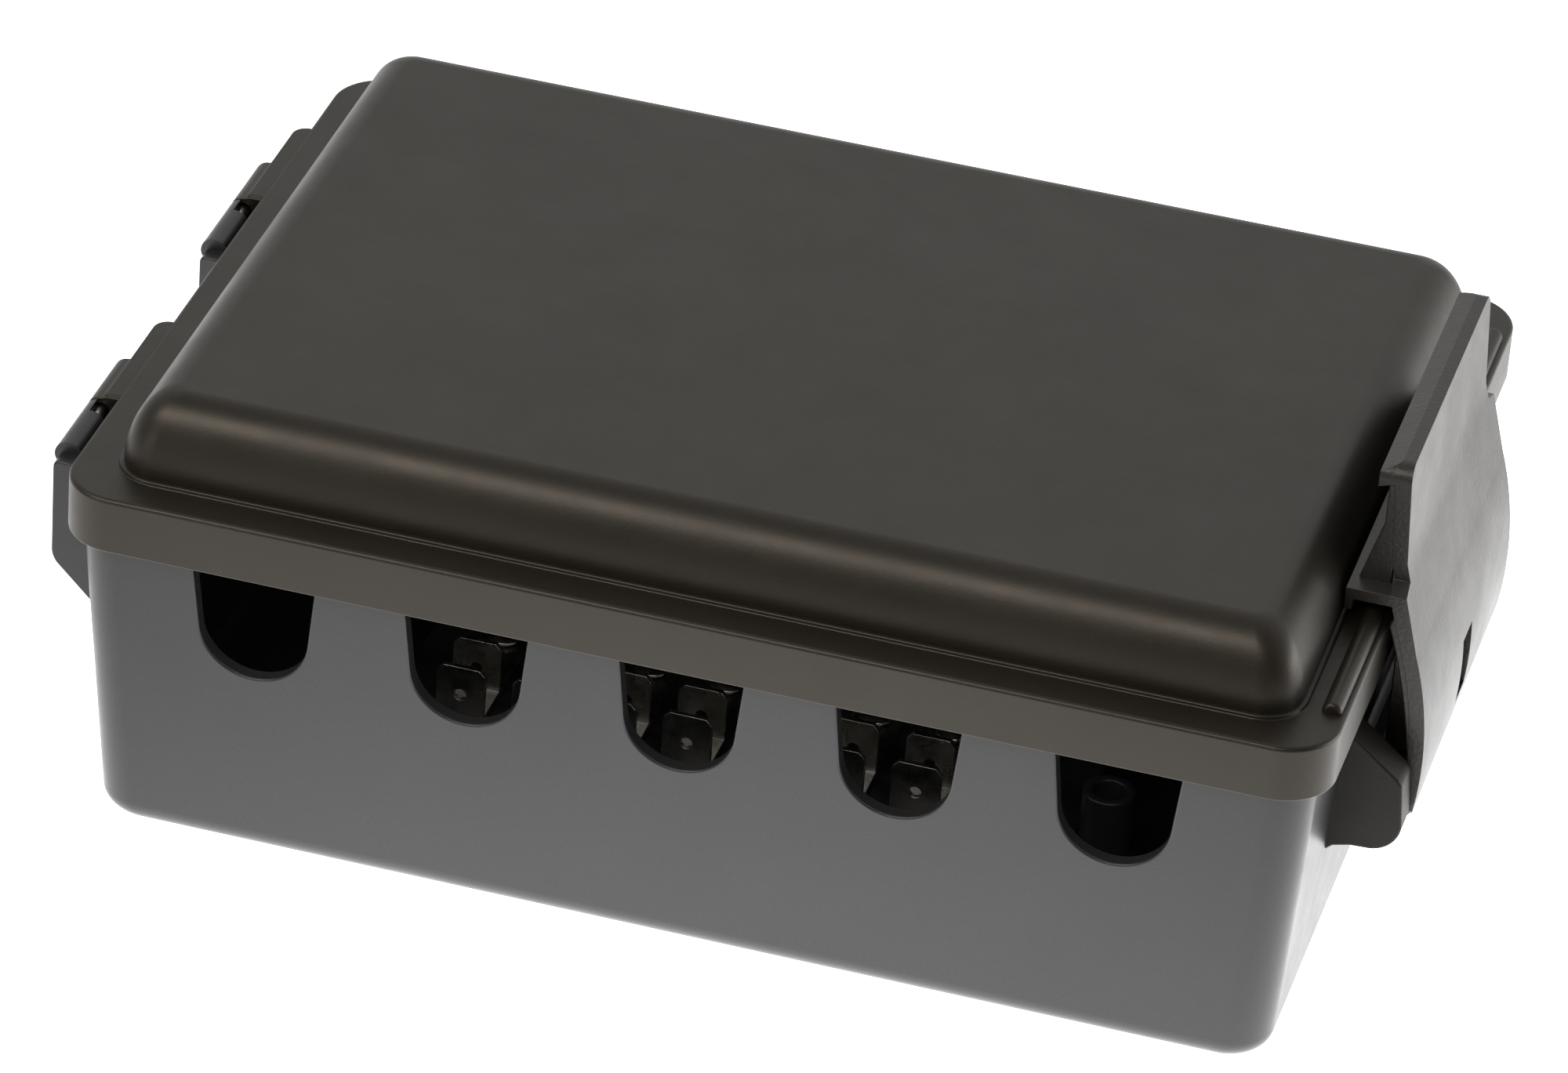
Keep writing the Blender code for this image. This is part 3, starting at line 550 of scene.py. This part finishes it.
def hinge_bracket(front):
    """The tub's part of one hinge: a plain front plate, a barrel on a gusset and a low bracket."""
    wall_x = -RIM_HALF[0] + WALL * 0.6
    inner_x = HINGE_X + BARREL_RADIUS
    gusset_top = SKIRT_Z - 0.4 * MM
    foot = [(wall_x, HINGE_FOOT_Z - 1.2 * MM)]
    foot += arc((BRACKET_X + BRACKET_BEND, HINGE_CHAMFER_Z + 0.6 * MM), BRACKET_BEND, 222, 180, 6)
    neck = 180 + math.degrees(math.acos((HINGE_X - BRACKET_X) / BARREL_RADIUS))
    gusset = foot + arc((HINGE_X, HINGE_Z), BARREL_RADIUS, neck, 0, 24)
    gusset += [(inner_x, gusset_top), (wall_x, gusset_top)]
    bracket = foot + [(BRACKET_X, BRACKET_TOP), (inner_x, BRACKET_TOP)]
    bracket += [(inner_x, gusset_top), (wall_x, gusset_top)]
    corner = (BRACKET_X + PLATE_CORNER, PLATE_TOP - PLATE_CORNER)
    plate = foot + arc(corner, PLATE_CORNER, 180, 90, 6)
    plate += [(inner_x, PLATE_TOP), (inner_x, gusset_top), (wall_x, gusset_top)]
    front_plate = prism("hinge_front_plate", plate, front, front + TUB_BARREL[0] + 0.5 * MM, "Y")
    barrel = prism("hinge_gusset", gusset, front + TUB_BARREL[0], front + TUB_BARREL[1], "Y")
    pocket = block("pocket", (HINGE_X - 0.3 * MM, front + POCKET, gusset_top + 1 * MM),
                   (HINGE_X + BEYOND, front + TUB_BARREL[1] + BEYOND, HINGE_Z + BEYOND))
    bore_ends = (front + POCKET - 1 * MM, front + TUB_BARREL[1] + BEYOND)
    bore = rod("bore", PIN_HOLE, *bore_ends, (HINGE_X, 0, HINGE_Z), "Y")
    combined(barrel, [pocket, bore], "DIFFERENCE")
    ends = (front + TUB_BARREL[1] - 1 * MM, front + REAR_GUSSET[1])
    bracket = prism("hinge_bracket", bracket, *ends, "Y")
    return [filleted(piece, 0.3 * MM) for piece in (tidied(barrel), front_plate, bracket)]


def latch_cheek(side):
    """One of the two ears that hold the latch, with a blind socket for its trunnion."""
    wall_x = RIM_HALF[0] - WALL * 1.2
    outline = [(wall_x, 18.6 * MM), (75.6 * MM, 19.6 * MM), (76.8 * MM, 20.6 * MM), (78.7 * MM, 21.1 * MM)]
    outline += arc(CHEEK_CENTRE, CHEEK_RADIUS, -90, 0)
    outline += [(84.3 * MM, 31.0 * MM), (83.6 * MM, 31.9 * MM), (wall_x, 39.1 * MM)]
    low, high = sorted((side * CHEEK_INNER, side * CHEEK_OUTER))
    cheek = prism("latch_cheek", outline, low, high, "Y")
    ends = sorted((side * (CHEEK_INNER - BEYOND), side * (TRUNNION_TIP + 0.4 * MM)))
    socket = rod("socket", TRUNNION_RADIUS + 0.3 * MM, *ends, (PIVOT_X, 0, PIVOT_Z), "Y")
    combined(cheek, [socket], "DIFFERENCE")
    return filleted(cheek, SOFT_FILLET)


def build_tub():
    tub = lofted("tub", tub_rings())
    cutters = [slot_cutter(i) for i in range(SLOTS)]
    for centre in POSTS:
        cutters.append(rod("post_bore", POST_BORE, -BEYOND, FLOOR + BEYOND, (*centre, 0), "Z"))
    low = (-RIM_HALF[0] - BEYOND, -LID_HALF[1], RELIEF[1])
    cutters.append(block("rim_relief", low, (RELIEF[0], LID_HALF[1], RIM_Z + BEYOND)))
    combined(tub, cutters, "DIFFERENCE")
    filleted(tidied(tub))
    pieces = [screw_post(centre) for centre in POSTS] + [board_boss(side) for side in (-1, 1)]
    for piece in pieces:
        piece.data.shade_smooth()
        piece.data.set_sharp_from_angle(angle=math.radians(50))
    for front in HINGE_FRONTS:
        pieces += hinge_bracket(front)
    placed(tub, "base", TUB_PLASTIC, ["base_tub"])
    for piece in pieces:
        placed(piece, "base", TUB_PLASTIC)
    # The cheeks and their shelf take the painted-shade copy of the tub's plastic.
    for side in (-1, 1):
        placed(latch_cheek(side), "base", CHEEK_PLASTIC_PAINTED_SHADE)
    reach = CHEEK_INNER + CHEEK_LAP
    low, high = ((x, y, z) for (x, z), y in zip(CHEEK_WEB, (-reach, reach)))
    placed(filleted(block("cheek_web", low, high)), "base", CHEEK_PLASTIC_PAINTED_SHADE)


# ---------------------------------------------------------------- lid


def lid_profile():
    """Rings over the lid, from the middle of the crown out, round the skirt and back under."""
    bead = inset(LID_HALF, FLANGE_WIDTH)
    dome = inset(bead, BEAD_WIDTH)
    shoulder = inset(dome, DOME_LEAN)
    bead_top = FLANGE_Z + BEAD_HEIGHT
    wide, tall = DOME_EDGE + DOME_LEAN, DOME_TOP - bead_top
    rings = []
    for angle in reversed(edge_angles(DOME_STEPS)):
        pulled = wide * (1 - math.cos(angle))
        z = bead_top + tall * math.sin(angle)
        rings.append((inset(dome, pulled), DOME_CORNER - pulled * DOME_EASE, z))
    crest = BEAD_WIDTH / 2
    middle = inset(bead, crest)
    for angle in edge_angles(6)[1:]:
        corner = DOME_CORNER + crest * (1 + math.sin(angle))
        z = bead_top - crest * (1 - math.cos(angle))
        rings.append((inset(middle, -crest * math.sin(angle)), corner, z))
    rings.append((inset(bead, -0.03 * MM), DOME_CORNER + BEAD_WIDTH, FLANGE_Z + 0.08 * MM))
    rings.append((inset(bead, -0.12 * MM), DOME_CORNER + BEAD_WIDTH, FLANGE_Z))
    for angle in reversed(edge_angles(6)):
        pulled = SOFT_FILLET * (1 - math.cos(angle))
        z = FLANGE_Z - SOFT_FILLET * (1 - math.sin(angle))
        rings.append((inset(LID_HALF, pulled), LID_CORNER - pulled, z))
    lip = 0.3 * MM
    for angle in edge_angles(4):
        pulled = lip * (1 - math.cos(angle))
        z = SKIRT_Z + lip * (1 - math.sin(angle))
        rings.append((inset(LID_HALF, pulled), LID_CORNER - pulled, z))
    for angle in edge_angles(4):
        pulled = SKIRT_WALL - lip * (1 - math.sin(angle))
        z = SKIRT_Z + lip * (1 - math.cos(angle))
        rings.append((inset(LID_HALF, pulled), LID_CORNER - pulled, z))
    under = FLANGE_Z - FLANGE_WALL
    skirt = inset(LID_HALF, SKIRT_WALL)
    rings.append((skirt, LID_CORNER - SKIRT_WALL, under))
    inner = inset(shoulder, DOME_WALL)
    inner_edge = DOME_EDGE - DOME_WALL
    rings.append((inner, DOME_CORNER - DOME_WALL, under))
    for angle in edge_angles(8):
        pulled = inner_edge * (1 - math.cos(angle))
        z = DOME_TOP - DOME_EDGE + inner_edge * math.sin(angle)
        rings.append((inset(inner, pulled), DOME_CORNER - DOME_WALL - pulled * CORNER_EASE, z))
    return rings


def lid_lug(front):
    """The flat tongue beside the lid's hinge barrel."""
    skirt_x = -LID_HALF[0] + SKIRT_WALL * 0.6
    low = front + LID_BARREL[0] + 0.4 * MM
    lug = [(skirt_x, low), (LUG_X, low)]
    lug += arc((LUG_X + LUG_CORNER, front + LUG_END - LUG_CORNER), LUG_CORNER, 180, 90)
    lug += [(skirt_x, front + LUG_END)]
    return filleted(prism("lid_lug", lug, FLANGE_Z - 1.25 * MM, FLANGE_Z - 0.05 * MM, "Z"), 0.3 * MM)


def lid_barrel(front):
    skirt_x = -LID_HALF[0] + SKIRT_WALL * 0.6
    arm_top = FLANGE_Z - 0.2 * MM
    arm = arc((HINGE_X, HINGE_Z), BARREL_RADIUS, 90, 330, 32)
    arm += [(skirt_x, HINGE_Z - 1.2 * MM), (skirt_x, arm_top), (HINGE_X + 0.8 * MM, arm_top)]
    barrel = prism("lid_barrel", arm, front + LID_BARREL[0], front + LID_BARREL[1], "Y")
    ends = (front + LID_BARREL[0] - BEYOND, front + LID_BARREL[1] + BEYOND)
    combined(barrel, [rod("bore", PIN_HOLE, *ends, (HINGE_X, 0, HINGE_Z), "Y")], "DIFFERENCE")
    return filleted(barrel, 0.2 * MM)


def build_lid():
    lid = lofted("lid_shell", lid_profile())
    lid.data.shade_smooth()
    lid.data.set_sharp_from_angle(angle=math.radians(40))
    normals = lid.modifiers.new("normals", "WEIGHTED_NORMAL")
    normals.keep_sharp = True
    settled(lid)
    rib = arc((RIB_X, FLANGE_Z + 0.1 * MM), RIB_RADIUS, 0, 180)
    rib += [(RIB_X - RIB_RADIUS, FLANGE_Z - 1 * MM), (RIB_X + RIB_RADIUS, FLANGE_Z - 1 * MM)]
    pieces = [filleted(prism("catch_rib", rib, -RIB_HALF_LENGTH, RIB_HALF_LENGTH, "Y"), SOFT_FILLET, 50)]
    for front in HINGE_FRONTS:
        pieces += [lid_lug(front), lid_barrel(front)]
    placed(lid, "lid", LID_PLASTIC, ["lid"])
    for piece in pieces:
        placed(piece, "lid", LID_PLASTIC)


# ---------------------------------------------------------------- latch


def bowed(start, end, rise, steps=10):
    """Points on a circular arc between two points that stands off their chord by rise, to its left."""
    chord = math.dist(start, end)
    radius = (chord * chord / 4 + rise * rise) / (2 * rise)
    along = ((end[0] - start[0]) / chord, (end[1] - start[1]) / chord)
    left = (-along[1], along[0])
    reach = math.asin(chord / 2 / radius)
    points = []
    for i in range(steps + 1):
        angle = -reach + 2 * reach * i / steps
        u = chord / 2 + radius * math.sin(angle)
        v = rise - radius * (1 - math.cos(angle))
        points.append((start[0] + along[0] * u + left[0] * v, start[1] + along[1] * u + left[1] * v))
    return points


def plate_line():
    """The outer face of the plate in X and Z, from the crease to the heel: straight, then a wide arc."""
    centre = (BELLY[0] - BELLY_RADIUS, BELLY[1])
    return [CREASE] + arc(centre, BELLY_RADIUS, 17.5, -8.5, 30) + [HEEL]


def latch_profile():
    plate = plate_line()
    outer = [LEDGE_TIP, LEDGE_RIDGE, CROWN] + plate
    inner = [(x - PLATE, z) for x, z in reversed(plate)]
    below = [point for point in inner if point[1] < HOOK_LOW]
    above = [point for point in inner if point[1] > HOOK_HIGH]
    root_x = inner[-1][0] + 1 * MM
    hook = [
        (root_x, HOOK_LOW),
        (HOOK_X + HOOK_LIP, HOOK_LOW),
        (HOOK_X + HOOK_LIP, HOOK_LIP_Z),
        (HOOK_X, HOOK_LIP_Z),
        (HOOK_X, HOOK_HIGH),
        (root_x - 0.3 * MM, HOOK_HIGH),
    ]
    under_z = LEDGE_TIP[1] - LEDGE_THICK
    under = [(CROWN[0] - PLATE, under_z + 0.6 * MM), (LEDGE_TIP[0], under_z)]
    return outer + below + hook + above + under


def latch_outline():
    """The latch seen from +X: a narrow crown on a wider plate."""
    corner = (CROWN_HALF - CROWN_CORNER, CROWN[1] - CROWN_CORNER)
    right = arc(corner, CROWN_CORNER, 90, 0, 6)
    right += [(CROWN_HALF, HOOK_HIGH + 0.8 * MM), (LATCH_HALF, HOOK_HIGH)]
    right += [(LATCH_HALF, HEEL[1] + 1.5 * MM), (LATCH_HALF - 1.5 * MM, HEEL[1])]
    return right + [(-y, z) for y, z in reversed(right)]


def edge_rib(side):
    """The plate is deeper along its side edges, most of all under the hook."""
    outer = [(x - 0.3 * MM, z) for x, z in plate_line() if z < HOOK_LOW]
    inner = bowed((79.5 * MM, 49.6 * MM), (83.6 * MM, 31.0 * MM), 0.5 * MM, 12)
    low, high = sorted((side * (LATCH_HALF - EDGE_RIB), side * (LATCH_HALF - 0.05 * MM)))
    rib = outer + [(83.0 * MM, HEEL[1] + 2 * MM)] + inner[::-1] + [(80.5 * MM, HOOK_LOW + 0.5 * MM)]
    return filleted(prism("edge_rib", rib, low, high, "Y"), 0.25 * MM)


def latch_gusset(side):
    """A web behind the plate's edge that carries the ledge and runs down to the hook."""
    back = CROWN[0] - PLATE + 1 * MM
    web = [(77.0 * MM, 68.0 * MM), (77.0 * MM, 62.0 * MM), (74.6 * MM, HOOK_HIGH - 0.3 * MM)]
    web += [(back, HOOK_HIGH - 0.3 * MM), (back, 68.0 * MM)]
    low, high = sorted((side * (CROWN_HALF - GUSSET), side * (CROWN_HALF - 0.1 * MM)))
    return filleted(prism("latch_gusset", web, low, high, "Y"), 0.25 * MM)


def back_rib(y):
    """One of the ribs that stiffen the back of the plate and close off the space behind it."""
    inner = [(x - PLATE + 0.5 * MM, z) for x, z in plate_line() if BACK_RIB[0] < z < BACK_RIB[1]]
    rib = inner + [(BACK_RIB_X, BACK_RIB[0]), (BACK_RIB_X, BACK_RIB[1])]
    return filleted(prism("back_rib", rib, y - GUSSET / 2, y + GUSSET / 2, "Y"), 0.25 * MM)


def build_latch():
    latch = prism("latch_plate", latch_profile(), -LATCH_HALF - BEYOND, LATCH_HALF + BEYOND, "Y")
    trim = prism("latch_trim", latch_outline(), HOOK_X - BEYOND, BELLY[0] + BEYOND, "X")
    combined(latch, [trim], "INTERSECT")
    slot_low = (PIVOT_X + 1 * MM, -LATCH_SLOT_HALF, LATCH_SLOT[0])
    slot = block("latch_slot", slot_low, (BELLY[0] + BEYOND, LATCH_SLOT_HALF, LATCH_SLOT[1]))
    combined(latch, [slot], "DIFFERENCE")
    filleted(tidied(latch), 0.5 * MM, 16)
    end = LATCH_HALF - 0.1 * MM
    pivot = (PIVOT_X, 0, PIVOT_Z)
    barrel = rod("latch_barrel", LATCH_BARREL, -end, end, pivot, "Y")
    trunnions = rod("trunnions", TRUNNION_RADIUS, -TRUNNION_TIP, TRUNNION_TIP, pivot, "Y")
    web_low = (PIVOT_X, -20 * MM, PIVOT_Z - 1.5 * MM)
    web = block("latch_web", web_low, (HEEL[0], 20 * MM, PIVOT_Z + 1.5 * MM))
    pieces = [filleted(piece, 0.3 * MM) for piece in (barrel, trunnions, web)]
    for side in (-1, 1):
        pieces += [edge_rib(side), latch_gusset(side)] + [back_rib(side * y) for y in BACK_RIB_Y]
    placed(latch, "latch", LATCH_PLASTIC, ["latch"])
    for piece in pieces:
        placed(piece, "latch", LATCH_PLASTIC)


# ---------------------------------------------------------------- terminals and hardware


def refined(node, body, finish, width):
    """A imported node's own shape with its edges filleted."""
    mesh = frame["nodes"][node].data.copy()
    made = bpy.data.objects.new(node + "_fine", mesh)
    bpy.context.scene.collection.objects.link(made)
    filleted(tidied(made, 1.0), width, 25)
    return placed(made, body, finish, [node])


def build_hardware():
    for node in sorted(frame["nodes"]):
        if node.startswith("bus_strip"):
            refined(node, "base", BRASS, METAL_FILLET)
        elif node.startswith("rivet"):
            refined(node, "base", BRASS, METAL_FILLET)
        elif node.startswith("board_screw") or node.endswith("hinge_pin"):
            refined(node, "base", STEEL, METAL_FILLET)
        elif node == "terminal_board":
            refined(node, "base", BOARD_PLASTIC, 0.2 * MM)


# ---------------------------------------------------------------- stage

FLOOR_REACH = 6.0  # half its side
FLOOR_DROP = 0.02 * MM  # the floor is this much below the underside
FLOOR_GREY = 0.60

# The floor shines a little, so that it looks evenly pale. A wide field fades out with distance, and a
# smaller halo under the object adds to it.
FIELD_CENTRE = (0, 0.12, 0)
FIELD_FADE = (0.26, 0.42)
FIELD_GLOW = 1.05
BEYOND_FIELD_Y = (-0.3, 0.1)  # outside the field the floor is lighter behind the object than in front
BEYOND_FIELD_GLOW = (0.10, 0.60)
HALO_CENTRE = (0.015, 0.02, 0)
HALO_FADE = (0.07, 0.19)
HALO_GLOW = 1.3

WORLD_DEPTH = (-0.9, 0.9)  # of the direction that is looked in, from -Y to +Y
WORLD_GREYS = (0.03, 0.78)

# Name, place, aim, size, watts and colour. The last is a thin strip inside the tub, behind the front wall.
# It stands in for the light that reaches the tabs through the slots.
LIGHTS = (
    ("key", (-1.0, -1.3, 0.3), (0, 0, 0.03), (0.8, 0.4), 2.0, (1.0, 0.99, 0.98)),
    ("band", (-0.45, -0.75, 1.0), (-0.02, 0, 0.05), (1.3, 0.3), 9.0, (1.0, 0.94, 0.86)),
    ("side", (1.2, 0.5, 0.10), (0, 0, 0.03), (0.9, 0.3), 6, (1, 1, 1)),
    ("slots", (0, -0.049, 0.0445), (0, -0.03, 0.015), (0.15, 0.003), 0.006, (1, 1, 1)),
)

VIEW_AZIMUTH = 0.2405  # from -Y towards +X, radians
VIEW_ELEVATION = 0.5608
VIEW_ROLL = 0.0763
VIEW_DISTANCE = 1.0316
VIEW_SHIFT = (-0.00005, 0.02411)  # of the camera across and up its own picture plane, metres
LENS_MM = 185.75


def add_camera():
    level = math.cos(VIEW_ELEVATION)
    cosine, sine = math.cos(VIEW_AZIMUTH), math.sin(VIEW_AZIMUTH)
    back = Vector((sine * level, -cosine * level, math.sin(VIEW_ELEVATION)))
    right = Vector((cosine, sine, 0))
    up = back.cross(right)
    across = right * math.cos(VIEW_ROLL) + up * math.sin(VIEW_ROLL)
    upward = up * math.cos(VIEW_ROLL) - right * math.sin(VIEW_ROLL)
    place = back * VIEW_DISTANCE + across * VIEW_SHIFT[0] + upward * VIEW_SHIFT[1]
    data = bpy.data.cameras.new("camera")
    data.lens = LENS_MM
    data.sensor_width = 36
    data.clip_start = 0.01
    data.clip_end = 20
    camera = bpy.data.objects.new("camera", data)
    bpy.context.scene.collection.objects.link(camera)
    turn = Matrix((across, upward, back)).transposed()
    camera.matrix_world = Matrix.Translation(place) @ turn.to_4x4()
    bpy.context.scene.camera = camera


def add_light(name, place, aim, size, watts, colour):
    data = bpy.data.lights.new(name, "AREA")
    data.shape = "RECTANGLE"
    data.size, data.size_y = size
    data.energy = watts
    data.color = colour
    light = bpy.data.objects.new(name, data)
    bpy.context.scene.collection.objects.link(light)
    light.location = place
    light.rotation_euler = (Vector(aim) - Vector(place)).to_track_quat("-Z", "Y").to_euler()


def add_floor():
    """A pale floor that shines most near the object."""
    shape = bmesh.new()
    bmesh.ops.create_grid(shape, x_segments=1, y_segments=1, size=FLOOR_REACH)
    floor = object_of("floor", shape)
    floor.location.z = -FLOOR_DROP
    made, nodes, links = new_material("pale_floor")
    shader = nodes["Principled BSDF"]
    shader.inputs["Base Color"].default_value = (*grey(FLOOR_GREY), 1)
    shader.inputs["Roughness"].default_value = 0.9
    shader.inputs["Emission Color"].default_value = (1.0, 1.0, 1.0, 1)
    place = nodes.new("ShaderNodeTexCoord")
    from_field = distance_from(nodes, links, place, FIELD_CENTRE)
    field = map_range(nodes, links, from_field, *FIELD_FADE, FIELD_GLOW, smooth=True)
    axes = nodes.new("ShaderNodeSeparateXYZ")
    links.new(place.outputs["Object"], axes.inputs["Vector"])
    outside = map_range(nodes, links, axes.outputs["Y"], *BEYOND_FIELD_Y, *BEYOND_FIELD_GLOW)
    links.new(outside.outputs["Result"], field.inputs["To Max"])
    from_halo = distance_from(nodes, links, place, HALO_CENTRE)
    halo = map_range(nodes, links, from_halo, *HALO_FADE, HALO_GLOW, 0.0, smooth=True)
    total = nodes.new("ShaderNodeMath")
    links.new(field.outputs["Result"], total.inputs[0])
    links.new(halo.outputs["Result"], total.inputs[1])
    links.new(total.outputs[0], shader.inputs["Emission Strength"])
    floor.data.materials.append(made)


def add_world():
    """A pale studio: lighter behind the object than overhead, and dim in front of it."""
    world = bpy.data.worlds.new("studio")
    bpy.context.scene.world = world
    world.use_nodes = True
    nodes, links = world.node_tree.nodes, world.node_tree.links
    place = nodes.new("ShaderNodeTexCoord")
    axes = nodes.new("ShaderNodeSeparateXYZ")
    links.new(place.outputs["Generated"], axes.inputs["Vector"])
    depth = map_range(nodes, links, axes.outputs["Y"], *WORLD_DEPTH)
    front, behind = map(grey, WORLD_GREYS)
    shade = ramp(nodes, links, depth.outputs["Result"], front, behind, 0.15, 0.9)
    links.new(shade.outputs["Color"], nodes["Background"].inputs["Color"])


build_tub()
build_lid()
build_latch()
build_hardware()
add_floor()
add_world()
for light in LIGHTS:
    add_light(*light)
add_camera()
bpy.context.scene.view_settings.view_transform = "Standard"
